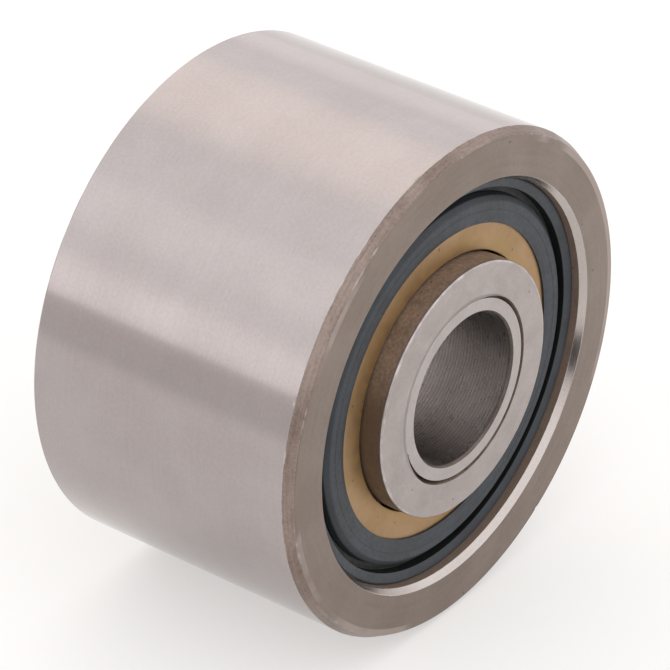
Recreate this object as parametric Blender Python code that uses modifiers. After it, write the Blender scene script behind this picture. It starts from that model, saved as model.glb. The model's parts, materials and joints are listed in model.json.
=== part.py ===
"""Yoke-type cam follower: a steel tread ring on two rows of tapered rollers, sealed at both ends.

The spin axis lies along Y. The front face looks towards -Y, and the origin is the middle of the part.
In every profile below, r is the distance from the spin axis, and s the distance from the middle plane
out towards one end face. For a piece that both ends share, that is the front one.
"""

from math import atan, cos, pi, radians, sin, tan

import bmesh
import bpy

INCH = 0.0254
MM = 0.001

# Outer ring
TREAD_DIAMETER = 2.5 * INCH
RING_WIDTH = 1.5 * INCH
TREAD_CHAMFER_RADIAL = 0.70 * MM
TREAD_CHAMFER_AXIAL = 1.30 * MM
REAR_EDGE_BREAK = 0.20 * MM
MOUTH_CHAMFER_RADIAL = 0.63 * MM
MOUTH_CHAMFER_AXIAL = 0.80 * MM
RECESS_STEP = 0.40 * MM
CENTRE_RIB_WIDTH = 4.60 * MM
CENTRE_RIB_HEIGHT = 4.00 * MM

# Bore sleeve
BORE_DIAMETER = 0.75 * INCH
SLEEVE_WALL = INCH / 16
BORE_CHAMFER = 0.42 * MM
SLEEVE_CORNER = 0.20 * MM

# Cones, the inner races. Their wide ribs are the hubs that stand proud of the ring at both ends.
HUB_PROUD = INCH / 32
CONE_WALL = 2.03 * MM
SMALL_RIB_HEIGHT = 0.60 * MM
LARGE_RIB_HEIGHT = 1.10 * MM
CONE_BORE_CHAMFER = 0.50 * MM
HUB_CHAMFER = 0.30 * MM
SPACER_WIDTH = 2.50 * MM
SPACER_WALL = 2.20 * MM
SMALL_RIB_WIDTH = 1.70 * MM

# Rollers and cages
ROLLER_COUNT = 15
ROLLER_SPACE = 1.00 * MM
ROLLER_TILT = radians(9.64)
ROLLER_CORNER = 0.25 * MM
CAGE_THICKNESS = 1.00 * MM
CAGE_OFFSET = 0.70 * MM
CAGE_RIM = 1.20 * MM

# Cups, the outer races
CUP_WALL = 2.99 * MM
CUP_OVERHANG = 0.25 * MM
CUP_CORNER = 0.40 * MM

# Thrust washers and seals
WASHER_DEPTH = 2.10 * MM
WASHER_THICKNESS = 0.85 * MM
WASHER_FACE_WIDTH = 3.67 * MM
WASHER_OVERLAP = 0.50 * MM
LIP_THICKNESS = 0.20 * MM
SEAL_RIM_WIDTH = 1.15 * MM
SEAL_RIM_DROP = 0.35 * MM
SEAL_SHOULDER = 0.30 * MM
GROOVE_WIDTH = 1.35 * MM
GROOVE_FLOOR = 0.50 * MM
PLATE_THICKNESS = 0.60 * MM

# Clearances
SEAT_GAP = 0.25 * MM
RUNNING_GAP = 0.20 * MM
LIP_GAP = 0.20 * MM
CAGE_CLEARANCE = 0.40 * MM

# Facets round a turned piece, and round a roller
RING_STEPS = 48
CAGE_STEPS = 60
ROLLER_STEPS = 12
SHARP_ANGLE = radians(30)

# Inner stack, from the bore outwards
tread_radius = TREAD_DIAMETER / 2
half_width = RING_WIDTH / 2
hub_face = half_width + HUB_PROUD
bore_radius = BORE_DIAMETER / 2
sleeve_radius = bore_radius + SLEEVE_WALL
cone_bore = sleeve_radius + SEAT_GAP

# The rollers fill the circle that the cone wall leaves them, ROLLER_SPACE apart at their small ends.
# Roller, cone and cup surfaces all run to one apex on the spin axis, and that gives the roller its taper.
small_race_radius = cone_bore + CONE_WALL + RUNNING_GAP
half_pitch_sine = sin(pi / ROLLER_COUNT)
small_end_radius = (half_pitch_sine * small_race_radius - ROLLER_SPACE / 2) / (
    1 - half_pitch_sine * cos(ROLLER_TILT)
)
small_end_pitch = small_race_radius + small_end_radius * cos(ROLLER_TILT)
roller_taper = atan(small_end_radius * sin(ROLLER_TILT) / small_end_pitch)

# Outer stack, from the end face inwards to the rollers' large ends
washer_face = half_width - WASHER_DEPTH
washer_back = washer_face - WASHER_THICKNESS
cage_end = washer_back - CAGE_CLEARANCE
small_end_s = SPACER_WIDTH / 2 + SEAT_GAP + SMALL_RIB_WIDTH + small_end_radius * sin(ROLLER_TILT)
cage_lean = CAGE_OFFSET * sin(ROLLER_TILT)
large_end_s = cage_end + cage_lean - (RUNNING_GAP + CAGE_RIM) * cos(ROLLER_TILT)
roller_length = (large_end_s - small_end_s) / cos(ROLLER_TILT)
large_end_radius = small_end_radius + roller_length * tan(roller_taper)


def by_roller(along, across):
    """(r, s) of a point this far along a roller from its small end, and this far out from its axis."""
    return (
        small_end_pitch + along * sin(ROLLER_TILT) + across * cos(ROLLER_TILT),
        small_end_s + along * cos(ROLLER_TILT) - across * sin(ROLLER_TILT),
    )


def cup_race_radius(s):
    """r of the cup's raceway at s."""
    start_r, start_s = by_roller(0, small_end_radius + RUNNING_GAP)
    return start_r + (s - start_s) * tan(ROLLER_TILT + roller_taper)


cone_small_face = SPACER_WIDTH / 2 + SEAT_GAP
cup_back = CENTRE_RIB_WIDTH / 2 + SEAT_GAP
cup_front = by_roller(roller_length, large_end_radius)[1] + CUP_OVERHANG
cup_radius = cup_race_radius(cup_front) + CUP_WALL
seat_radius = cup_radius + SEAT_GAP
recess_radius = seat_radius + RECESS_STEP
hub_radius = by_roller(roller_length, -large_end_radius - RUNNING_GAP)[0] + LARGE_RIB_HEIGHT
cage_radius = by_roller(roller_length + RUNNING_GAP + CAGE_RIM, CAGE_OFFSET + CAGE_THICKNESS)[0]

# The seal lies between the steel plate under it and the lip that closes over the washer
plate_back = cup_front + SEAT_GAP
plate_face = plate_back + PLATE_THICKNESS
seal_back = plate_face + SEAT_GAP
lip_back = washer_face + LIP_GAP
seal_face = lip_back + LIP_THICKNESS
lip_radius = hub_radius + WASHER_FACE_WIDTH
washer_radius = lip_radius + WASHER_OVERLAP
seal_radius = recess_radius - SEAT_GAP


def clear_scene():
    for obj in list(bpy.data.objects):
        bpy.data.objects.remove(obj, do_unlink=True)


def new_collection(name):
    collection = bpy.data.collections.new(name)
    bpy.context.scene.collection.children.link(collection)
    return collection


def new_empty(name, parent=None, rotation=(0, 0, 0)):
    empty = bpy.data.objects.new(name, None)
    empty.empty_display_size = 5 * MM
    empty.rotation_euler = rotation
    empty.parent = parent
    parts.objects.link(empty)
    return empty


def new_material(name, colour, roughness, metallic):
    material = bpy.data.materials.new(name)
    material.use_nodes = True
    shader = material.node_tree.nodes["Principled BSDF"]
    shader.inputs["Base Color"].default_value = (*colour, 1)
    shader.inputs["Roughness"].default_value = roughness
    shader.inputs["Metallic"].default_value = metallic
    return material


def new_object(name, mesh, material, parent, collection):
    obj = bpy.data.objects.new(name, mesh)
    if not mesh.materials:
        mesh.materials.append(material)
    obj.parent = parent
    collection.objects.link(obj)
    return obj


def turned(name, outer, inner, material, parent, steps=RING_STEPS):
    """A ring turned about the parent's Z. outer and inner list its (r, s) corners from high s to low s."""
    corners = outer + inner[::-1]
    points = [(r, 0, s) for r, s in corners]
    edges = [(i, (i + 1) % len(points)) for i in range(len(points))]
    mesh = bpy.data.meshes.new(name)
    mesh.from_pydata(points, edges, [])
    ring = new_object(name, mesh, material, parent, parts)
    screw = ring.modifiers.new("Turn", "SCREW")
    screw.axis = "Z"
    screw.steps = steps
    screw.render_steps = steps
    screw.use_merge_vertices = False
    shade(ring)
    return ring


def shade(obj):
    """Applies the modifiers, then shades the piece smooth round the axis and sharp at its corners."""
    evaluated = obj.evaluated_get(bpy.context.evaluated_depsgraph_get())
    rough_mesh = obj.data
    obj.data = bpy.data.meshes.new_from_object(evaluated)
    obj.modifiers.clear()
    bpy.data.meshes.remove(rough_mesh)
    obj.data.shade_smooth()
    obj.data.set_sharp_from_angle(angle=SHARP_ANGLE)


def both_ends(corners):
    """Corners given for one end, followed by the same corners at the other end."""
    return corners + [(r, -s) for r, s in reversed(corners)]


def outer_ring(parent):
    wall = tread_radius - recess_radius
    tread_chamfer = min(TREAD_CHAMFER_RADIAL, wall / 3)
    mouth_chamfer = min(MOUTH_CHAMFER_RADIAL, wall / 3)
    outer = [
        (tread_radius - tread_chamfer, half_width),
        (tread_radius, half_width - TREAD_CHAMFER_AXIAL),
        (tread_radius, REAR_EDGE_BREAK - half_width),
        (tread_radius - REAR_EDGE_BREAK, -half_width),
    ]
    inner = [
        (recess_radius + mouth_chamfer, half_width),
        (recess_radius, half_width - MOUTH_CHAMFER_AXIAL),
        (recess_radius, cup_front),
        (seat_radius, cup_front),
        (seat_radius, CENTRE_RIB_WIDTH / 2),
        (seat_radius - CENTRE_RIB_HEIGHT, CENTRE_RIB_WIDTH / 2),
    ]
    turned("outer_ring", outer, both_ends(inner), ring_steel, parent)


def bore_sleeve(parent):
    outer = [
        (sleeve_radius - SLEEVE_CORNER, hub_face),
        (sleeve_radius, hub_face - SLEEVE_CORNER),
    ]
    inner = [
        (bore_radius + BORE_CHAMFER, hub_face),
        (bore_radius, hub_face - BORE_CHAMFER),
    ]
    turned("bore_sleeve", both_ends(outer), both_ends(inner), sleeve_steel, parent)


def cone_spacer(parent):
    outer = [(cone_bore + SPACER_WALL, SPACER_WIDTH / 2)]
    inner = [(cone_bore, SPACER_WIDTH / 2)]
    turned("cone_spacer", both_ends(outer), both_ends(inner), sleeve_steel, parent)


def cone(end, parent):
    race_small = -small_end_radius - RUNNING_GAP
    race_large = -large_end_radius - RUNNING_GAP
    small_corner = by_roller(-RUNNING_GAP, race_small)
    small_rib_top = by_roller(-RUNNING_GAP, race_small + SMALL_RIB_HEIGHT)
    large_corner = by_roller(roller_length + RUNNING_GAP, race_large)
    large_rib_top = by_roller(roller_length + RUNNING_GAP, race_large + LARGE_RIB_HEIGHT)
    outer = [
        (hub_radius - HUB_CHAMFER, hub_face),
        (hub_radius, hub_face - HUB_CHAMFER),
        (hub_radius, large_rib_top[1]),
        large_corner,
        small_corner,
        small_rib_top,
        (small_rib_top[0], cone_small_face),
    ]
    inner = [
        (cone_bore + CONE_BORE_CHAMFER, hub_face),
        (cone_bore, hub_face - CONE_BORE_CHAMFER),
        (cone_bore, cone_small_face),
    ]
    turned(f"cone_{end}", outer, inner, race_steel, parent)


def cup(end, parent):
    outer = [
        (cup_radius - CUP_CORNER, cup_front),
        (cup_radius, cup_front - CUP_CORNER),
        (cup_radius, cup_back + CUP_CORNER),
        (cup_radius - CUP_CORNER, cup_back),
    ]
    inner = [
        (cup_race_radius(cup_front), cup_front),
        (cup_race_radius(cup_back), cup_back),
    ]
    turned(f"cup_{end}", outer, inner, race_steel, parent)


def thrust_washer(end, parent):
    outer = [(washer_radius, washer_face), (washer_radius, washer_back)]
    inner = [
        (hub_radius + SEAT_GAP, washer_face),
        (hub_radius + SEAT_GAP, washer_back),
    ]
    turned(f"brass_washer_{end}", outer, inner, brass, parent)


def seal(end, parent):
    groove_outer = seal_radius - SEAL_RIM_WIDTH
    groove_inner = groove_outer - GROOVE_WIDTH
    groove_floor = seal_back + GROOVE_FLOOR
    under_lip = max(washer_radius, cage_radius) + RUNNING_GAP
    outer = [
        (seal_radius, seal_face),
        (seal_radius, seal_back),
    ]
    inner = [
        (groove_outer, seal_face - SEAL_RIM_DROP),
        (groove_outer, groove_floor),
        (groove_inner, groove_floor),
        (groove_inner, seal_face - SEAL_SHOULDER),
        (groove_inner - SEAL_SHOULDER, seal_face),
        (lip_radius, seal_face),
        (lip_radius, lip_back),
        (under_lip, lip_back),
        (under_lip, seal_back),
    ]
    turned(f"rubber_seal_{end}", outer, inner, rubber, parent)


def seal_plate(end, parent):
    inner_radius = cup_race_radius(cup_front)
    outer = [(seal_radius, plate_face), (seal_radius, plate_back)]
    inner = [(inner_radius, plate_face), (inner_radius, plate_back)]
    turned(f"seal_plate_{end}", outer, inner, plate_steel, parent)


def window_cutter(end, parent):
    """One tapered block for each roller, reaching through the cage wall."""
    low = CAGE_OFFSET / 2
    high = CAGE_OFFSET + 2 * CAGE_THICKNESS
    block = bmesh.new()
    for index in range(ROLLER_COUNT):
        corners = bmesh.ops.create_cube(block, size=2)["verts"]
        turn = 2 * pi * index / ROLLER_COUNT
        for corner in corners:
            large = corner.co.z > 0
            along = roller_length + RUNNING_GAP if large else -RUNNING_GAP
            across = high if corner.co.x > 0 else low
            half_window = (large_end_radius if large else small_end_radius) + RUNNING_GAP
            sideways = half_window if corner.co.y > 0 else -half_window
            r, s = by_roller(along, across)
            corner.co = (
                r * cos(turn) - sideways * sin(turn),
                r * sin(turn) + sideways * cos(turn),
                s,
            )
    mesh = bpy.data.meshes.new(f"cage_windows_{end}")
    block.to_mesh(mesh)
    block.free()
    cutter = new_object(mesh.name, mesh, cage_steel, parent, cutters)
    cutter.hide_render = True
    cutter.display_type = "WIRE"
    return cutter


def cage(end, parent):
    small = -RUNNING_GAP - CAGE_RIM
    large = roller_length + RUNNING_GAP + CAGE_RIM
    outside = CAGE_OFFSET + CAGE_THICKNESS
    outer = [by_roller(large, outside), by_roller(small, outside)]
    inner = [by_roller(large, CAGE_OFFSET), by_roller(small, CAGE_OFFSET)]
    shell = turned(f"roller_cage_{end}", outer, inner, cage_steel, parent, CAGE_STEPS)
    windows = shell.modifiers.new("Windows", "BOOLEAN")
    windows.operation = "DIFFERENCE"
    windows.solver = "EXACT"
    windows.object = window_cutter(end, parent)


def roller_mesh():
    """A tapered roller along Z, its large end up and its origin half way along."""
    body = bmesh.new()
    bmesh.ops.create_cone(
        body,
        cap_ends=True,
        segments=ROLLER_STEPS,
        radius1=small_end_radius,
        radius2=large_end_radius,
        depth=roller_length,
    )
    rims = [edge for edge in body.edges if abs(edge.verts[0].co.z - edge.verts[1].co.z) < MM]
    bmesh.ops.bevel(body, geom=rims, offset=ROLLER_CORNER, segments=1, affect="EDGES")
    mesh = bpy.data.meshes.new("tapered_roller")
    body.to_mesh(mesh)
    body.free()
    mesh.shade_smooth()
    mesh.set_sharp_from_angle(angle=SHARP_ANGLE)
    return mesh


def rollers(end, parent, mesh):
    r, s = by_roller(roller_length / 2, 0)
    for index in range(ROLLER_COUNT):
        turn = 2 * pi * index / ROLLER_COUNT
        roller = new_object(f"roller_{end}_{index + 1:02d}", mesh, roller_steel, parent, parts)
        roller.location = (r * cos(turn), r * sin(turn), s)
        roller.rotation_euler = (0, ROLLER_TILT, turn)


clear_scene()
parts = new_collection("cam_follower")
cutters = new_collection("cutters")

ring_steel = new_material("ring_steel", (0.55, 0.52, 0.51), 0.38, 1.0)
race_steel = new_material("race_steel", (0.48, 0.46, 0.45), 0.40, 1.0)
sleeve_steel = new_material("sleeve_steel", (0.50, 0.47, 0.46), 0.35, 1.0)
roller_steel = new_material("roller_steel", (0.62, 0.61, 0.60), 0.20, 1.0)
cage_steel = new_material("cage_steel", (0.40, 0.39, 0.38), 0.45, 1.0)
plate_steel = new_material("plate_steel", (0.35, 0.34, 0.33), 0.45, 1.0)
brass = new_material("brass", (0.45, 0.32, 0.17), 0.55, 0.6)
rubber = new_material("rubber", (0.06, 0.07, 0.075), 0.55, 0.0)

spin_axis = new_empty("spin_axis", rotation=(pi / 2, 0, 0))
one_roller = roller_mesh()
outer_ring(spin_axis)
bore_sleeve(spin_axis)
cone_spacer(spin_axis)
for end_name, turned_over in (("front", 0), ("rear", pi)):
    row = new_empty(f"{end_name}_row", spin_axis, (turned_over, 0, 0))
    cone(end_name, row)
    cup(end_name, row)
    cage(end_name, row)
    rollers(end_name, row, one_roller)
    thrust_washer(end_name, row)
    seal_plate(end_name, row)
    seal(end_name, row)
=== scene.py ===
"""A cam follower in its finished materials, piece by piece in the order it is put together.

The spin axis lies along Y and the front end looks towards -Y. Sizes are in millimetres. In every outline
r is the distance from the spin axis, and s the distance from the middle of the part towards one end.
"""

import json
from math import ceil, cos, pi, radians, sin, tan

import bpy
import numpy as np
from mathutils import Matrix, Vector


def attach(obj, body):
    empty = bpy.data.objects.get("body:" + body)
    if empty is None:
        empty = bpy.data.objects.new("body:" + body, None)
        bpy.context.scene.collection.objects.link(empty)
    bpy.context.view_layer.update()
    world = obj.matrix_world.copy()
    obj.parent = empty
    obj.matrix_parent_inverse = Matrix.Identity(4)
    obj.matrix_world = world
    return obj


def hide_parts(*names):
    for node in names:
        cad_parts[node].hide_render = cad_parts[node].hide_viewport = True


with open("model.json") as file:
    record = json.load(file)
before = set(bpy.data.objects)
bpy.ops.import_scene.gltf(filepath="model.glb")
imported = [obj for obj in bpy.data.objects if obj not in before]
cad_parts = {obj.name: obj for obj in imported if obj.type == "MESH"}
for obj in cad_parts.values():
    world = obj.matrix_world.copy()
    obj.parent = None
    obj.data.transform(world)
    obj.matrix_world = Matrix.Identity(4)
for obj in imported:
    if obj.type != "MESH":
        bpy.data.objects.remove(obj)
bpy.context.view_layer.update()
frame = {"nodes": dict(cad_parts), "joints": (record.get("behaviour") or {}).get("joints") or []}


# Tread ring. One heavy ring of bearing steel, turned, hardened, and then ground on its tread and in its
# mouth. The end faces and the front chamfer keep the brown-grey skin of the furnace, and carry the nicks
# of handling. The cups press in from both ends against the rib in the middle.
MM = 0.001
HOLD = 0.12  # how near a rounded corner the next ring of points keeps the flat beside it flat


def rounded(corners, longest=3.0):
    """The closed outline through the corners (r, s, corner radius), given anticlockwise.

    Each point it gives is (r, s, edge), where edge is 1 on an outward corner, -1 on an inward one and 0
    on the flats.
    """
    arcs = []
    for index, (r, s, radius) in enumerate(corners):
        if radius == 0:
            arcs.append([(r, s, 0.0)])
            continue
        here = Vector((r, s))
        back = Vector(corners[index - 1][:2]) - here
        ahead = Vector(corners[(index + 1) % len(corners)][:2]) - here
        turn = pi - back.angle(ahead)
        reach = min(radius * tan(turn / 2), 0.45 * back.length, 0.45 * ahead.length)
        outward = back.x * ahead.y - back.y * ahead.x < 0
        back.normalize()
        ahead.normalize()
        middle = here + (back + ahead).normalized() * reach / sin(turn / 2)
        start = here + back * reach - middle
        end = here + ahead * reach - middle
        steps = max(2, ceil(turn / radians(30)))
        arcs.append([
            (*(middle + start.length * start.slerp(end, step / steps)), 1.0 if outward else -1.0)
            for step in range(steps + 1)
        ])
    outline = []
    for arc, following in zip(arcs, arcs[1:] + arcs[:1]):
        outline += arc
        start, end = Vector(arc[-1][:2]), Vector(following[0][:2])
        length = (end - start).length
        stops = [HOLD, length - HOLD] if length > 4 * HOLD else []
        if length > 12 * HOLD:
            stops += [3 * HOLD, length - 3 * HOLD]
        pieces = ceil(length / longest)
        stops += [length * piece / pieces for piece in range(1, pieces)]
        outline += [(*start.lerp(end, stop / length), 0.0) for stop in sorted(stops)]
    return outline


def both_ends(rear, front=None):
    """One end's corners, from the outside inwards, joined to the front's, which are the same if not given."""
    return [(r, -s, radius) for r, s, radius in reversed(front or rear)] + rear


def turned(name, outline, segments, finishes, side=1, zone=None, nicks=(), uneven=None):
    """A ring turned about Y from a closed outline. Side 1 has s along +Y, and -1 is the front end.

    Zone tells which of the finishes the run at (r, s) has. A nick is (angle, r, s, size, depth), and it
    dents rounded corners only. Uneven gives the true (r, s) of an edge that isn't the same all round.
    """
    rings = np.array(outline)
    angle = np.arange(segments) * 2 * pi / segments
    r = np.repeat(rings[:, :1], segments, axis=1)
    s = np.repeat(rings[:, 1:2], segments, axis=1)
    for at, nick_r, nick_s, size, depth in nicks:
        along = (angle - at + pi) % (2 * pi) - pi
        apart = (along * nick_r) ** 2 + (r - nick_r) ** 2 + (s - nick_s) ** 2
        push = depth * np.exp(-apart / size**2) * (rings[:, 2:] != 0)
        r = r - push * 0.8
        s = s - push * 0.6 * np.sign(nick_s)
    if uneven:
        r, s = uneven(r, s, angle)
    points = np.stack([r * np.cos(angle), side * s, r * np.sin(angle)], axis=-1) * MM
    first = np.arange(len(rings))[:, None]
    across = np.arange(segments)[None, :]
    later, beyond = (first + 1) % len(rings), (across + 1) % segments
    corners = [(first, across), (later, across), (later, beyond), (first, beyond)]
    quads = np.stack([ring * segments + spoke for ring, spoke in corners], axis=-1).reshape(-1, 4)
    turned_out = (rings[:, 0] * np.roll(rings[:, 1], -1) - rings[:, 1] * np.roll(rings[:, 0], -1)).sum()
    if turned_out * side < 0:
        quads = quads[:, ::-1]
    mesh = bpy.data.meshes.new(name)
    mesh.from_pydata(points.reshape(-1, 3).tolist(), [], quads.tolist())
    mesh.shade_smooth()
    edge = mesh.attributes.new("edge", "FLOAT", "POINT")
    edge.data.foreach_set("value", np.repeat(rings[:, 2], segments).astype(np.float32))
    for finish in finishes:
        mesh.materials.append(finish)
    if zone:
        halfway = (rings + np.roll(rings, -1, axis=0)) / 2
        index = [zone(ring_r, ring_s) for ring_r, ring_s, _ in halfway]
        mesh.polygons.foreach_set("material_index", np.repeat(index, segments).astype(np.int32))
    piece = bpy.data.objects.new(name, mesh)
    bpy.context.scene.collection.objects.link(piece)
    return piece


def fit(piece, body, node):
    """The piece takes the place of its CAD node, on the same body."""
    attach(piece, body)
    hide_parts(node)
    return piece


def tint(red, green, blue):
    """A colour from its three display values, 0 to 255."""
    display = [value / 255 for value in (red, green, blue)]
    return (*[v / 12.92 if v <= 0.04045 else ((v + 0.055) / 1.055) ** 2.4 for v in display], 1.0)


def add(tree, kind, inputs=None, **settings):
    """A node with its settings and inputs. An input is another node's socket or a plain value."""
    node = tree.nodes.new(kind)
    for key, value in settings.items():
        setattr(node, key, value)
    for key, value in (inputs or {}).items():
        if isinstance(value, bpy.types.NodeSocket):
            tree.links.new(value, node.inputs[key])
        else:
            node.inputs[key].default_value = value
    return node


def sums(tree, operation, *values):
    """The output of a Math node."""
    return add(tree, "ShaderNodeMath", dict(enumerate(values)), operation=operation).outputs[0]


def remap(tree, value, low, high, new_low=0.0, new_high=1.0, smooth=True):
    """Value from low to high becomes new_low to new_high, and stays between them."""
    ends = {0: value, 1: low, 2: high, 3: new_low, 4: new_high}
    if smooth:
        return add(tree, "ShaderNodeMapRange", ends, interpolation_type="SMOOTHSTEP").outputs[0]
    return add(tree, "ShaderNodeMapRange", ends).outputs[0]


def layer(tree, share, under, over):
    """The colour under, covered by the colour over where share is 1."""
    return add(tree, "ShaderNodeMix", {0: share, 6: under, 7: over}, data_type="RGBA").outputs[2]


def new_effect(name, inputs, output):
    """A shader node group with number inputs and one number output: (tree, its inputs, its output node)."""
    tree = bpy.data.node_groups.new(name, "ShaderNodeTree")
    for label, value in inputs.items():
        socket = tree.interface.new_socket(label, in_out="INPUT", socket_type="NodeSocketFloat")
        socket.default_value = value
    tree.interface.new_socket(output, in_out="OUTPUT", socket_type="NodeSocketFloat")
    return tree, tree.nodes.new("NodeGroupInput").outputs, tree.nodes.new("NodeGroupOutput").inputs


def effect(tree, group, **values):
    """The output of a node group placed in a material, with this material's own values."""
    inputs = {label.replace("_", " "): value for label, value in values.items()}
    return add(tree, "ShaderNodeGroup", inputs, node_tree=group).outputs[0]


def millimetres(tree):
    """(x, y, z, r) over the piece, in millimetres."""
    place = add(tree, "ShaderNodeTexCoord").outputs["Object"]
    scaled = add(tree, "ShaderNodeVectorMath", {0: place, "Scale": 1 / MM}, operation="SCALE").outputs[0]
    x, y, z = add(tree, "ShaderNodeSeparateXYZ", {0: scaled}).outputs
    squared = sums(tree, "ADD", sums(tree, "MULTIPLY", x, x), sums(tree, "MULTIPLY", z, z))
    return x, y, z, sums(tree, "SQRT", squared)


# Marks that run round the axis, as a lathe or a grinding wheel leaves them: 0 to 1.
lathe_marks, given, result = new_effect(
    "Lathe marks", {"Lines per mm": 2.0, "Wander": 2.0, "Fineness": 0.6}, "Marks"
)
x, y, z, r = millimetres(lathe_marks)
across = sums(lathe_marks, "ADD", r, sums(lathe_marks, "MULTIPLY", y, 1.37))
spread = add(lathe_marks, "ShaderNodeCombineXYZ", {
    0: sums(lathe_marks, "MULTIPLY", sums(lathe_marks, "DIVIDE", x, r), given["Wander"]),
    1: sums(lathe_marks, "MULTIPLY", across, given["Lines per mm"]),
    2: sums(lathe_marks, "MULTIPLY", sums(lathe_marks, "DIVIDE", z, r), given["Wander"]),
}).outputs[0]
streaks = add(lathe_marks, "ShaderNodeTexNoise", {
    "Vector": spread, "Scale": 1.0, "Detail": 3.0, "Roughness": given["Fineness"],
}).outputs["Fac"]
lathe_marks.links.new(streaks, result["Marks"])

# Soft clouds, for oil, handling and uneven heat: 0 to 1.
clouds, given, result = new_effect("Clouds", {"Size mm": 8.0, "Detail": 3.0}, "Cloud")
place = add(clouds, "ShaderNodeTexCoord").outputs["Object"]
scale = sums(clouds, "DIVIDE", 1 / MM, given["Size mm"])
cloud = add(clouds, "ShaderNodeTexNoise", {
    "Vector": place, "Scale": scale, "Detail": given["Detail"], "Roughness": 0.55,
}).outputs["Fac"]
clouds.links.new(remap(clouds, cloud, 0.3, 0.7), result["Cloud"])

# Separate small spots, for pits, dust and rust: 1 on a spot. Share is how many of the cells hold one.
spots, given, result = new_effect("Spots", {"Cell mm": 2.0, "Share": 0.2, "Size": 0.25}, "Spot")
place = add(spots, "ShaderNodeTexCoord").outputs["Object"]
scale = sums(spots, "DIVIDE", 1 / MM, given["Cell mm"])
bend = add(spots, "ShaderNodeTexNoise", {
    "Vector": place, "Scale": sums(spots, "MULTIPLY", scale, 2.0), "Detail": 1.0,
}).outputs["Fac"]
cells = add(spots, "ShaderNodeTexVoronoi", {"Vector": place, "Scale": scale, "Randomness": 1.0})
bend = sums(spots, "MULTIPLY", sums(spots, "SUBTRACT", bend, 0.5), 0.3)
ragged = sums(spots, "ADD", cells.outputs["Distance"], bend)
near = remap(spots, sums(spots, "DIVIDE", ragged, given["Size"]), 1.0, 0.55)
pick = add(spots, "ShaderNodeSeparateColor", {0: cells.outputs["Color"]}).outputs[0]
chosen = sums(spots, "LESS_THAN", pick, given["Share"])
spots.links.new(sums(spots, "MULTIPLY", near, chosen), result["Spot"])

# Bare metal on outward corners, broken up along their length: 1 where the corner is rubbed bright.
edge_wear, given, result = new_effect("Edge wear", {"Break mm": 2.0, "Bare": 0.5}, "Wear")
corner = add(edge_wear, "ShaderNodeAttribute", attribute_name="edge").outputs["Fac"]
place = add(edge_wear, "ShaderNodeTexCoord").outputs["Object"]
scale = sums(edge_wear, "DIVIDE", 1 / MM, given["Break mm"])
broken = add(edge_wear, "ShaderNodeTexNoise", {"Vector": place, "Scale": scale, "Detail": 3.0}).outputs["Fac"]
reach = sums(edge_wear, "ADD", sums(edge_wear, "SUBTRACT", broken, 0.5), given["Bare"])
bare = sums(edge_wear, "MULTIPLY", remap(edge_wear, corner, 0.3, 1.0), remap(edge_wear, reach, 0.35, 0.65))
edge_wear.links.new(bare, result["Wear"])


def new_finish(name):
    """An empty material: (material, its node tree, its shader)."""
    finish = bpy.data.materials.new(name)
    finish.use_nodes = True
    return finish, finish.node_tree, finish.node_tree.nodes["Principled BSDF"]


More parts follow.
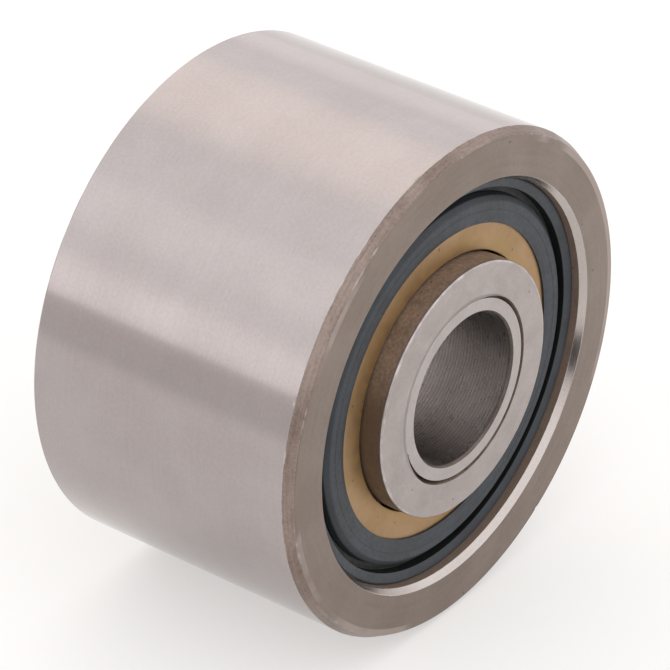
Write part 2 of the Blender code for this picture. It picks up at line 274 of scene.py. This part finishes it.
def machined_steel(
    name, pale, dark, rough, lines=2.0, wander=1.5, relief=0.002, streak=0.5, cloud_mm=9.0,
    spot_share=0.03, bare=0.35, brushed=0.0, metal=1.0, grain_share=0.25, rubbed=None, darker_side=None,
):
    """Steel off a lathe or a grinding machine, its marks running round the axis.

    Rubbed is (r, colour): outside that r the skin is rubbed thin in places and shows the colour.
    The last argument is (angle, colour): around that angle from +X the surface turns towards the darker
    colour.
    """
    finish, tree, shader = new_finish(name)
    marks = effect(tree, lathe_marks, Lines_per_mm=lines, Wander=wander)
    cloud = effect(tree, clouds, Size_mm=cloud_mm)
    grain = effect(tree, clouds, Size_mm=0.35, Detail=2.0)
    pits = effect(tree, spots, Cell_mm=0.9, Share=spot_share, Size=0.2)
    worn = effect(tree, edge_wear, Bare=bare)
    streaked = sums(tree, "MULTIPLY_ADD", sums(tree, "SUBTRACT", marks, 0.5), streak, 0.25)
    clouded = sums(tree, "MULTIPLY_ADD", cloud, 0.35, streaked)
    grained = sums(tree, "MULTIPLY_ADD", grain, grain_share, clouded)
    colour = layer(tree, grained, pale, dark)
    if rubbed:
        past = remap(tree, millimetres(tree)[3], rubbed[0] - 0.03, rubbed[0] + 0.05)
        patchy = remap(tree, effect(tree, clouds, Size_mm=26.0, Detail=4.0), 0.35, 0.7)
        colour = layer(tree, sums(tree, "MULTIPLY", past, patchy), colour, rubbed[1])
    # Darker towards one side: around the given angle from +X the colour turns to the darker one given.
    if darker_side:
        x, _, z, r = millimetres(tree)
        along = sums(tree, "MULTIPLY_ADD", x, cos(darker_side[0]), sums(tree, "MULTIPLY", z, sin(darker_side[0])))
        darker_share = remap(tree, sums(tree, "DIVIDE", along, r), 0.72, 0.93)
        colour = layer(tree, sums(tree, "MULTIPLY", darker_share, 0.8), colour, darker_side[1])
    colour = layer(tree, sums(tree, "MULTIPLY", pits, 0.6), colour, tint(70, 58, 50))
    colour = layer(tree, sums(tree, "MULTIPLY", worn, 0.7), colour, tint(205, 199, 196))
    tree.links.new(colour, shader.inputs["Base Color"])
    duller = sums(tree, "MULTIPLY_ADD", sums(tree, "SUBTRACT", marks, 0.5), rough * 0.4, rough)
    duller = sums(tree, "MULTIPLY_ADD", sums(tree, "SUBTRACT", cloud, 0.5), rough * 0.2, duller)
    tree.links.new(duller, shader.inputs["Roughness"])
    height = sums(tree, "SUBTRACT", sums(tree, "MULTIPLY_ADD", grain, grain_share, marks), pits)
    bump = add(tree, "ShaderNodeBump", {"Height": height, "Distance": relief * MM, "Strength": 1.0})
    tree.links.new(bump.outputs[0], shader.inputs["Normal"])
    shader.inputs["Metallic"].default_value = metal
    if brushed:
        shader.inputs["Anisotropic"].default_value = brushed
        shader.inputs["Anisotropic Rotation"].default_value = 0.25
        round_axis = add(tree, "ShaderNodeTangent", direction_type="RADIAL", axis="Y")
        tree.links.new(round_axis.outputs[0], shader.inputs["Tangent"])
    return finish


TREAD_R = 31.75
RING_END = 19.05
RIB_END = 2.30
RECESS_END = 14.14
MOUTH_R = 25.40
MOUTH_CHAMFER_R = 26.03
MOUTH_CHAMFER_S = 18.25
TREAD_CORNER = (31.05, 17.75)  # the front chamfer runs from this r on the face to this s on the tread
REAR_BREAK = 0.20  # the rear corner is only just broken
RUBBED_R = 30.25
ground_tread = machined_steel(
    "ground_tread_steel", tint(176, 168, 166), tint(158, 149, 147), rough=0.14, lines=3.0, wander=1.2,
    relief=0.0005, streak=0.3, cloud_mm=14.0, spot_share=0.0, brushed=0.4, grain_share=0.2,
)
furnace_skin = machined_steel(
    "furnace_skin_steel", tint(141, 128, 120), tint(126, 114, 105), rough=0.38, lines=1.6, wander=3.0,
    relief=0.0015, streak=0.5, cloud_mm=7.0, spot_share=0.02, bare=0.26,
    rubbed=(RUBBED_R, tint(162, 149, 142)),
)
scuffed_chamfer = machined_steel(
    "scuffed_chamfer_steel", tint(154, 139, 131), tint(108, 93, 85), rough=0.34, lines=2.4, wander=5.0,
    relief=0.003, streak=0.9, cloud_mm=5.0, spot_share=0.03, bare=0.34,
)
bright_mouth = machined_steel(
    "bright_mouth_steel", tint(192, 184, 180), tint(176, 166, 161), rough=0.2, lines=4.0, wander=1.0,
    relief=0.0005, streak=0.3, spot_share=0.02,
)
recess_skin = machined_steel(
    "recess_skin_steel", tint(158, 138, 124), tint(126, 106, 92), rough=0.55, lines=1.2, wander=8.0,
    relief=0.003, streak=0.6, cloud_mm=3.0, spot_share=0.05, metal=0.5,
)
inside = [
    (MOUTH_CHAMFER_R, RING_END, 0.06),
    (MOUTH_R, MOUTH_CHAMFER_S, 0.08),
    (MOUTH_R, RECESS_END, 0.2),
    (25.00, RECESS_END, 0.1),
    (25.00, RIB_END, 0.4),
    (21.00, RIB_END, 0.2),
]
front_corner = [(TREAD_R, TREAD_CORNER[1], 0.15), (TREAD_CORNER[0], RING_END, 0.18)]
rear_corner = [(TREAD_R, RING_END - REAR_BREAK, 0.05), (TREAD_R - REAR_BREAK, RING_END, 0.05)]
ring_outline = rounded(both_ends(rear_corner + inside, front_corner + inside))


def ring_zone(r, s):
    """Which finish of the tread ring: tread, face and inside, outer corner, mouth chamfer, recess wall."""
    if r > TREAD_R - 0.01:
        return 0
    if r > (TREAD_CORNER[0] if s < 0 else TREAD_R - REAR_BREAK):
        return 2
    if MOUTH_R < r < MOUTH_CHAMFER_R and abs(s) > MOUTH_CHAMFER_S - 0.05:
        return 3
    return 4 if r < MOUTH_R + 0.1 and 17.0 < abs(s) < MOUTH_CHAMFER_S + 0.05 else 1


dice = np.random.default_rng(7)
nicks = []
for _ in range(40):
    on_face = dice.random() < 0.4
    nicks.append((
        dice.normal(2.6, 0.9) if dice.random() < 0.7 else dice.uniform(0, 2 * pi),
        TREAD_CORNER[0] if on_face else TREAD_R,
        -RING_END if on_face else -TREAD_CORNER[1],
        dice.uniform(0.2, 0.55),
        dice.uniform(0.02, 0.12),
    ))
ring_finishes = [ground_tread, furnace_skin, scuffed_chamfer, bright_mouth, recess_skin]
tread_ring = turned("tread_ring", ring_outline, 600, ring_finishes, zone=ring_zone, nicks=nicks)
fit(tread_ring, "tread", "outer_ring")


# Cups, the outer races. Hardened steel rings pressed into the tread ring, their tapered raceways ground
# and honed to a mirror. The rest of each cup is left as turned and hardened.
honed_race = machined_steel(
    "honed_race_steel", tint(196, 194, 194), tint(182, 179, 178), rough=0.12, lines=6.0, wander=0.8,
    relief=0.0002, streak=0.2, spot_share=0.0,
)
hardened_body = machined_steel(
    "hardened_body_steel", tint(150, 143, 138), tint(126, 118, 112), rough=0.34, lines=1.8, relief=0.0015,
)
cup_outline = rounded([
    (24.75, 2.55, 0.4), (24.75, 14.14, 0.4), (21.76, 14.14, 0.25), (19.43, 2.55, 0.25),
])
for end, side in (("front", -1), ("rear", 1)):
    cup = turned(
        f"cup_race_{end}", cup_outline, 192, [honed_race, hardened_body], side,
        zone=lambda r, s: 0 if r < 21.7 and 2.7 < s < 14.0 else 1,
    )
    fit(cup, "tread", f"cup_{end}")


# Bore sleeve. A thin steel tube through the whole part that the pin slides into. It was bored with a
# single-point tool, which left fine spiral lines, then faced bright at both ends and chamfered.
SLEEVE_END = 19.84375
BORE_R = 9.525
BORE_CHAMFER = 0.30
SLEEVE_R = 11.35
BORING_PITCH = 0.42

# Grooves of a single-point tool, wound round the axis: 0 in a groove to 1 on the ridge between two.
tool_spiral, given, result = new_effect("Tool spiral", {"Pitch mm": 0.4}, "Ridge")
x, y, z, r = millimetres(tool_spiral)
turns = sums(tool_spiral, "DIVIDE", sums(tool_spiral, "ARCTAN2", z, x), 2 * pi)
phase = sums(tool_spiral, "ADD", sums(tool_spiral, "DIVIDE", y, given["Pitch mm"]), turns)
stray = effect(tool_spiral, clouds, Size_mm=3.0, Detail=2.0)
phase = sums(tool_spiral, "MULTIPLY_ADD", stray, 0.2, phase)
ridge = sums(tool_spiral, "ABSOLUTE", sums(tool_spiral, "SINE", sums(tool_spiral, "MULTIPLY", phase, pi)))
tool_spiral.links.new(ridge, result["Ridge"])


def bored_steel(name, pale, dark, rough, relief):
    """Steel cut by a boring tool, with the spiral of its feed, its grooves painted darker as painted shade.
    """
    finish, tree, shader = new_finish(name)
    ridge = effect(tree, tool_spiral, Pitch_mm=BORING_PITCH)
    chatter = effect(tree, lathe_marks, Lines_per_mm=1.1, Wander=7.0)
    cloud = effect(tree, clouds, Size_mm=6.0)
    # Painted shade: the colour darkens in the spiral's grooves, over clouds of tone that differ at random.
    groove = sums(tree, "SUBTRACT", 1.0, ridge)
    shade = sums(tree, "MULTIPLY_ADD", cloud, 0.3, sums(tree, "MULTIPLY", groove, 0.45))
    tree.links.new(layer(tree, shade, pale, dark), shader.inputs["Base Color"])
    tree.links.new(sums(tree, "MULTIPLY_ADD", chatter, 0.14, rough - 0.07), shader.inputs["Roughness"])
    height = sums(tree, "MULTIPLY_ADD", chatter, 0.5, ridge)
    bump = add(tree, "ShaderNodeBump", {"Height": height, "Distance": relief * MM, "Strength": 1.0})
    tree.links.new(bump.outputs[0], shader.inputs["Normal"])
    shader.inputs["Metallic"].default_value = 1.0
    return finish


faced_bright = machined_steel(
    "faced_bright_steel", tint(183, 176, 174), tint(165, 157, 154), rough=0.3, lines=3.0, wander=2.0,
    relief=0.001, streak=0.4, cloud_mm=5.0, spot_share=0.02, bare=0.4,
)
bored_bright = bored_steel("bored_steel", tint(220, 215, 213), tint(152, 147, 144), rough=0.28, relief=0.008)
chamfered_edge = machined_steel(
    "chamfered_edge_steel", tint(114, 105, 100), tint(84, 75, 69), rough=0.5, lines=5.0, wander=3.0,
    relief=0.003, streak=0.6, cloud_mm=3.0, spot_share=0.04, bare=0.15,
)
sleeve_outline = rounded(both_ends([
    (SLEEVE_R, SLEEVE_END, 0.05),
    (BORE_R + BORE_CHAMFER, SLEEVE_END, 0.06),
    (BORE_R, SLEEVE_END - BORE_CHAMFER, 0.3),
]))


def sleeve_zone(r, s):
    """Which finish of the sleeve: end faces and outside, bore, bore chamfers."""
    if r < BORE_R + 0.005:
        return 1
    return 2 if r < BORE_R + BORE_CHAMFER - 0.01 else 0


sleeve_finishes = [faced_bright, bored_bright, chamfered_edge]
sleeve = turned("sleeve_tube", sleeve_outline, 384, sleeve_finishes, zone=sleeve_zone)
fit(sleeve, "hub", "bore_sleeve")


# Cones, the inner races. Each is one hardened steel ring: a small rib, the ground raceway, and a wide rib
# whose end stands proud of the tread ring as the hub. The hub's end face is ground. Its side is as turned,
# and darker brown towards the left. Its joint with the sleeve is painted dark, as painted shade.
HUB_R = 16.0
CONE_BORE_R = 11.3625
SMALL_RIB_R = 13.95
RACE_START = 3.30
RACE_END = 14.86
HUB_FACE_DEPTH = 0.28  # the ground finish of the face reaches this far round its outer corner
ground_hub_face = machined_steel(
    "ground_hub_face_steel", tint(177, 169, 167), tint(157, 148, 145), rough=0.33, lines=1.5, wander=6.0,
    relief=0.0012, streak=0.35, cloud_mm=3.5, spot_share=0.03, bare=0.46,
)
turned_hub_side = machined_steel(
    "turned_hub_side_steel", tint(164, 145, 130), tint(126, 107, 92), rough=0.5, lines=1.4, wander=9.0,
    relief=0.004, streak=0.5, cloud_mm=1.8, spot_share=0.12, bare=0.2, metal=0.5, grain_share=0.5,
    darker_side=(radians(190), tint(96, 78, 60)),
)
# Painted shade: the joint between cone and sleeve is coloured dark brown where shade falls in it.
joint_shade = machined_steel(
    "joint_shade_steel", tint(116, 98, 86), tint(66, 54, 46), rough=0.5, lines=1.0, wander=9.0,
    relief=0.004, streak=0.8, cloud_mm=3.0, spot_share=0.1, metal=0.6,
)
JOINT_WIDTH = 0.50
JOINT_DEPTH = 0.68
cone_outline = rounded([
    (HUB_R, 15.05, 0.15),
    (HUB_R, SLEEVE_END, 0.22),
    (CONE_BORE_R + JOINT_WIDTH, SLEEVE_END, 0.0),
    (CONE_BORE_R, SLEEVE_END - JOINT_DEPTH, 0.0),
    (CONE_BORE_R, 1.80, 0.05),
    (11.66, 1.50, 0.05),
    (SMALL_RIB_R, 1.50, 0.15),
    (SMALL_RIB_R, RACE_START - 0.10, 0.15),
    (13.34, RACE_START, 0.1),
    (14.95, RACE_END, 0.1),
])


def cone_zone(r, s):
    """Which finish of a cone: hub side, hub end face, raceway, the joint with the sleeve, the rest."""
    if s > SLEEVE_END - JOINT_DEPTH and r < CONE_BORE_R + JOINT_WIDTH:
        return 3
    if s > SLEEVE_END - HUB_FACE_DEPTH:
        return 1
    if r > HUB_R - 0.02:
        return 0
    return 2 if r > 13.0 and RACE_START < s < RACE_END - 0.06 else 4


def worn_joint(r, s, angle):
    """The cone's inner edge: broken wide at the bottom right, and left nearly sharp at the top left."""
    from_top_left = abs((angle - radians(136) + pi) % (2 * pi) - pi)
    broken = np.clip((from_top_left - radians(58)) / radians(34), 0.04, 1.0)
    top = (abs(r - CONE_BORE_R - JOINT_WIDTH) < 0.001) & (abs(s - SLEEVE_END) < 0.001)
    foot = (r < CONE_BORE_R + 0.01) & (abs(s - SLEEVE_END + JOINT_DEPTH) < 0.001)
    r = np.where(top, CONE_BORE_R + JOINT_WIDTH * broken, r)
    return r, np.where(foot, SLEEVE_END - JOINT_DEPTH * broken, s)


for end, side in (("front", -1), ("rear", 1)):
    finishes = [turned_hub_side, ground_hub_face, honed_race, joint_shade, hardened_body]
    cone = turned(
        f"cone_race_{end}", cone_outline, 384, finishes, side, zone=cone_zone, uneven=worn_joint
    )
    fit(cone, "hub", f"cone_{end}")


# Cone spacer. A short plain steel ring, parted off the bar, that sets the end play between the cones.
spacer_outline = rounded(both_ends([(13.56, 1.25, 0.15), (CONE_BORE_R, 1.25, 0.15)]))
spacer = turned("spacer_ring", spacer_outline, 128, [hardened_body])
fit(spacer, "hub", "cone_spacer")


# Rollers. Tapered rollers of through-hardened steel, ground and tumbled, with rounded ends. Each is turned
# about its own tilted axis, and its pin joint says where that lies.
ROLLER_LENGTH = 10.901
SMALL_END_R = 2.926
LARGE_END_R = 3.250
polished_roller = machined_steel(
    "polished_roller_steel", tint(204, 202, 202), tint(190, 187, 186), rough=0.1, lines=5.0, wander=0.6,
    relief=0.0002, streak=0.2, spot_share=0.0,
)


def roller(name):
    """A roller about its own Y axis, its large end towards +Y. A hair-thin hole runs along the axis."""
    half = ROLLER_LENGTH / 2
    core = 0.02
    outline = rounded([
        (LARGE_END_R, half, 0.25), (core, half, 0.0), (core, -half, 0.0), (SMALL_END_R, -half, 0.25),
    ])
    return turned(name, outline, 40, [polished_roller])


spins = {joint["child"]: joint for joint in frame["joints"] if joint["child"].startswith("roller_")}
for body, joint in sorted(spins.items()):
    piece = roller(body.replace("roller", "tapered_roller"))
    # The joints' axes run towards +Y, and a front roller's large end is towards -Y.
    axis = Vector(joint["axis"]) * (-1 if "front" in body else 1)
    turn = Vector((0, 1, 0)).rotation_difference(axis).to_matrix().to_4x4()
    piece.matrix_world = Matrix.Translation(joint["pos_m"]) @ turn
    fit(piece, body, body)


# Roller cages. Conical rings pressed from steel sheet and pierced with a window for each roller, then
# tumbled. The CAD shape is already the real one, so it stays and takes its finish here.
pressed_sheet = machined_steel(
    "pressed_cage_steel", tint(168, 163, 158), tint(142, 136, 131), rough=0.36, lines=0.8, wander=12.0,
    relief=0.004, streak=0.4, cloud_mm=4.0, spot_share=0.05,
)
for end in ("front", "rear"):
    cage = frame["nodes"][f"roller_cage_{end}"]
    cage.data.materials.clear()
    cage.data.materials.append(pressed_sheet)


# Seal plates. Flat rings stamped from thin steel, phosphated dark grey, that hold each seal off the
# rollers. They press into the recess behind the rubber.
phosphated = machined_steel(
    "phosphated_plate_steel", tint(98, 97, 96), tint(74, 73, 72), rough=0.5, lines=1.0, wander=10.0,
    relief=0.003, streak=0.3, cloud_mm=3.0, spot_share=0.1, bare=0.2,
)
plate_outline = rounded([
    (25.15, 14.40, 0.1), (25.15, 14.98, 0.1), (21.76, 14.98, 0.1), (21.76, 14.40, 0.1),
])
for end, side in (("front", -1), ("rear", 1)):
    plate = turned(f"stamped_plate_{end}", plate_outline, 192, [phosphated], side)
    fit(plate, "tread", f"seal_plate_{end}")


# Brass washers. Flat rings sawn from brass bar and faced on a lathe, which take the end thrust beside the
# hub. Oil and handling have turned them matt, with olive and brown patches.
def washer_brass(name):
    """Dull brass: a tan ground, olive near the hub, small brown spots, and faint facing marks."""
    finish, tree, shader = new_finish(name)
    marks = effect(tree, lathe_marks, Lines_per_mm=1.6, Wander=3.0)
    cloud = effect(tree, clouds, Size_mm=5.5, Detail=4.0)
    blotch = effect(tree, clouds, Size_mm=1.3, Detail=3.0)
    brown = effect(tree, spots, Cell_mm=1.6, Share=0.22, Size=0.16)
    worn = effect(tree, edge_wear, Bare=0.45)
    r = millimetres(tree)[3]
    towards_hub = remap(tree, r, 19.2, 16.4, 0.0, 0.55)
    colour = layer(tree, sums(tree, "MULTIPLY", cloud, 0.6), tint(173, 143, 109), tint(153, 124, 82))
    colour = layer(tree, sums(tree, "MULTIPLY", towards_hub, blotch), colour, tint(180, 149, 86))
    colour = layer(tree, sums(tree, "MULTIPLY", marks, 0.25), colour, tint(142, 114, 84))
    colour = layer(tree, sums(tree, "MULTIPLY", brown, 0.6), colour, tint(104, 76, 52))
    colour = layer(tree, sums(tree, "MULTIPLY", worn, 0.5), colour, tint(200, 174, 140))
    tree.links.new(colour, shader.inputs["Base Color"])
    tree.links.new(sums(tree, "MULTIPLY_ADD", blotch, 0.12, 0.42), shader.inputs["Roughness"])
    height = sums(tree, "MULTIPLY_ADD", blotch, 0.5, marks)
    bump = add(tree, "ShaderNodeBump", {"Height": height, "Distance": 0.003 * MM, "Strength": 1.0})
    tree.links.new(bump.outputs[0], shader.inputs["Normal"])
    shader.inputs["Metallic"].default_value = 0.85
    return finish


dull_brass = washer_brass("dull_brass")
washer_outline = rounded([
    (20.171, 16.10, 0.1), (20.171, 16.95, 0.1), (16.251, 16.95, 0.12), (16.251, 16.10, 0.1),
])
for end, side in (("front", -1), ("rear", 1)):
    washer = turned(f"thrust_washer_{end}", washer_outline, 384, [dull_brass], side)
    fit(washer, "hub", f"brass_washer_{end}")


# Rubber seals. Rings of black nitrile rubber moulded over their steel, pressed into the mouth of the
# tread ring. A thin lip lies over the washer, a deep groove lets the rim flex, and the mould left faint
# ridges. The floor and outer wall of the groove are painted near-black, as painted shade.
def moulded_rubber(name, bloomed, bare):
    """Black rubber with a grey bloom over its bare colour, faint mould lines and dust."""
    finish, tree, shader = new_finish(name)
    marks = effect(tree, lathe_marks, Lines_per_mm=1.5, Wander=1.5)
    cloud = effect(tree, clouds, Size_mm=6.0, Detail=4.0)
    fine = effect(tree, clouds, Size_mm=0.5, Detail=3.0)
    dust = effect(tree, spots, Cell_mm=1.1, Share=0.12, Size=0.13)
    bloom = sums(tree, "MULTIPLY_ADD", marks, 0.5, sums(tree, "MULTIPLY", cloud, 0.5))
    colour = layer(tree, bloom, bare, bloomed)
    colour = layer(tree, sums(tree, "MULTIPLY", dust, 0.35), colour, tint(120, 116, 110))
    tree.links.new(colour, shader.inputs["Base Color"])
    tree.links.new(sums(tree, "MULTIPLY_ADD", fine, 0.14, 0.44), shader.inputs["Roughness"])
    height = sums(tree, "MULTIPLY_ADD", fine, 0.6, marks)
    bump = add(tree, "ShaderNodeBump", {"Height": height, "Distance": 0.006 * MM, "Strength": 1.0})
    tree.links.new(bump.outputs[0], shader.inputs["Normal"])
    shader.inputs["IOR"].default_value = 1.44
    return finish


seal_rubber = moulded_rubber("moulded_rubber", tint(57, 63, 69), tint(39, 43, 47))
# Painted shade: the groove's floor and outer wall are coloured near-black where shade falls in the deep
# groove.
groove_shade_rubber = moulded_rubber("groove_shade_rubber", tint(22, 25, 25), tint(12, 13, 13))
SEAL_FACE = 17.35
GROOVE_FLOOR = 15.74
GROOVE_R = 24.00
seal_outline = rounded([
    (25.15, 15.24, 0.2),
    (25.36, SEAL_FACE - 0.10, 0.1),
    (25.10, SEAL_FACE - 0.02, 0.08),
    (GROOVE_R, SEAL_FACE - 0.33, 0.10),
    (GROOVE_R, GROOVE_FLOOR, 0.1),
    (23.12, GROOVE_FLOOR, 0.1),
    (22.98, SEAL_FACE - 0.52, 0.2),
    (22.34, SEAL_FACE, 0.3),
    (21.46, SEAL_FACE, 0.05),
    (21.38, SEAL_FACE - 0.07, 0.05),
    (21.28, SEAL_FACE, 0.05),
    (20.30, SEAL_FACE - 0.03, 0.3),
    (19.67, SEAL_FACE - 0.16, 0.04),
    (19.67, SEAL_FACE - 0.24, 0.02),
    (20.41, SEAL_FACE - 0.24, 0.1),
    (20.41, 15.24, 0.2),
], longest=1.2)


def seal_zone(r, s):
    """Which finish of the seal: the grey outside, or the floor and outer wall of the groove, painted
    near-black as shade.
    """
    on_floor = s < GROOVE_FLOOR + 0.21
    on_outer_wall = r > GROOVE_R - 0.02 and s < SEAL_FACE - 0.35
    return 1 if 22.6 < r < GROOVE_R + 0.05 and (on_floor or on_outer_wall) else 0


for end, side in (("front", -1), ("rear", 1)):
    seal = turned(
        f"moulded_seal_{end}", seal_outline, 384, [seal_rubber, groove_shade_rubber], side, zone=seal_zone
    )
    fit(seal, "tread", f"rubber_seal_{end}")


# Studio floor. A plain white table that the part stands on, lit from below. Its light falls off towards
# the left.
floor_paint, tree, shader = new_finish("floor_paint")
shader.inputs["Roughness"].default_value = 1.0
shader.inputs["Specular IOR Level"].default_value = 0.0
shader.inputs["Emission Color"].default_value = (0.455, 0.45, 0.445, 1.0)
shader.inputs["Emission Strength"].default_value = 1.0
here = add(tree, "ShaderNodeTexCoord").outputs["Object"]
across = add(tree, "ShaderNodeSeparateXYZ", {0: here}).outputs[0]
paper = effect(tree, clouds, Size_mm=60.0)
near_paint = layer(tree, paper, (0.455, 0.445, 0.435, 1), (0.465, 0.455, 0.445, 1))
left = remap(tree, across, -0.15, -0.30)
tree.links.new(layer(tree, left, near_paint, (0.31, 0.295, 0.29, 1)), shader.inputs["Base Color"])
floor_mesh = bpy.data.meshes.new("floor")
FLOOR_REACH = 6.0
floor_corners = [(-1, -1), (1, -1), (1, 1), (-1, 1)]
floor_points = [(x * FLOOR_REACH, y * FLOOR_REACH, -TREAD_R * MM) for x, y in floor_corners]
floor_mesh.from_pydata(floor_points, [], [(0, 1, 2, 3)])
floor_mesh.materials.append(floor_paint)
floor = bpy.data.objects.new("floor", floor_mesh)
bpy.context.scene.collection.objects.link(floor)

# A black card stands on the table in front, on the left. Only bright metal shows it, as a dark patch on the
# mouth's chamfer.
card_paper, tree, shader = new_finish("black_card")
shader.inputs["Roughness"].default_value = 0.9
fibres = effect(tree, clouds, Size_mm=2.0)
black = layer(tree, fibres, (0.012, 0.012, 0.012, 1), (0.022, 0.021, 0.02, 1))
tree.links.new(black, shader.inputs["Base Color"])
CARD_MIDDLE = Vector((-0.053, -0.089))
CARD_TOP = -0.004
across = Vector((0.66, -0.75)) * 0.022
card_ends = [CARD_MIDDLE - across, CARD_MIDDLE + across]
card_points = [(*end, -TREAD_R * MM) for end in card_ends]
card_points += [(*end, CARD_TOP) for end in reversed(card_ends)]
card_mesh = bpy.data.meshes.new("card")
card_mesh.from_pydata(card_points, [], [(0, 1, 2, 3)])
card_mesh.materials.append(card_paper)
card = bpy.data.objects.new("card", card_mesh)
card.visible_camera = False
card.visible_diffuse = False
card.visible_shadow = False
bpy.context.scene.collection.objects.link(card)


# Studio light. A white tent all round: even overhead, softly brighter where lamps stand behind its cloth,
# with the straight lower hem of one lit panel at the back left.
studio = bpy.data.worlds.new("studio_tent")
bpy.context.scene.world = studio
studio.use_nodes = True
tree = studio.node_tree
towards = add(tree, "ShaderNodeTexCoord").outputs["Generated"]
height = add(tree, "ShaderNodeSeparateXYZ", {0: towards}).outputs[2]
light = layer(tree, remap(tree, height, 0.0, 0.45), (0.89, 0.85, 0.85, 1), (1.40, 1.40, 1.41, 1))


def lamp(light, direction, core, rim, colour, mask=None):
    """The tent's light with a soft lamp added: full within core degrees of the direction, none past rim."""
    facing = add(tree, "ShaderNodeVectorMath", {
        0: towards, 1: Vector(direction).normalized(),
    }, operation="DOT_PRODUCT").outputs["Value"]
    share = remap(tree, facing, cos(radians(rim)), cos(radians(core)))
    if mask:
        share = sums(tree, "MULTIPLY", share, mask)
    lit = add(tree, "ShaderNodeVectorMath", {0: colour, "Scale": share}, operation="SCALE").outputs[0]
    return add(tree, "ShaderNodeVectorMath", {0: light, 1: lit}, operation="ADD").outputs[0]


HEM = sin(radians(7.3))
above_hem = remap(tree, height, HEM - 0.005, HEM + 0.005)
light = lamp(light, (-0.85, 0.51, 0.10), 4, 21, (0.52, 0.51, 0.51), above_hem)
light = lamp(light, (-0.52, 0.51, 0.68), 2, 14, (0.14, 0.14, 0.14))
light = lamp(light, (0.42, 0.51, 0.75), 3, 24, (0.35, 0.28, 0.22))
light = lamp(light, (0.86, 0.51, 0.0), 3, 19, (0.42, 0.41, 0.41))
tree.links.new(light, tree.nodes["Background"].inputs["Color"])
tree.nodes["Background"].inputs["Strength"].default_value = 1.0


# Camera. It stands to the left of the front end and above it, with a long lens.
AZIMUTH = radians(52.36)
ELEVATION = radians(32.55)
DISTANCE = 0.56477
ROLL = radians(0.2)
camera_data = bpy.data.cameras.new("camera")
camera_data.lens = 255.53
camera_data.sensor_width = 36.0
camera_data.shift_x = 0.00796
camera_data.shift_y = -0.00263
camera_data.clip_start = 0.01
camera_data.clip_end = 20.0
camera = bpy.data.objects.new("camera", camera_data)
outward = Vector((-sin(AZIMUTH) * cos(ELEVATION), -cos(AZIMUTH) * cos(ELEVATION), sin(ELEVATION)))
camera.matrix_world = (
    Matrix.Translation(outward * DISTANCE)
    @ outward.to_track_quat("Z", "Y").to_matrix().to_4x4()
    @ Matrix.Rotation(ROLL, 4, "Z")
)
bpy.context.scene.collection.objects.link(camera)
bpy.context.scene.camera = camera
bpy.context.scene.view_settings.view_transform = "Standard"
bpy.context.scene.view_settings.look = "None"
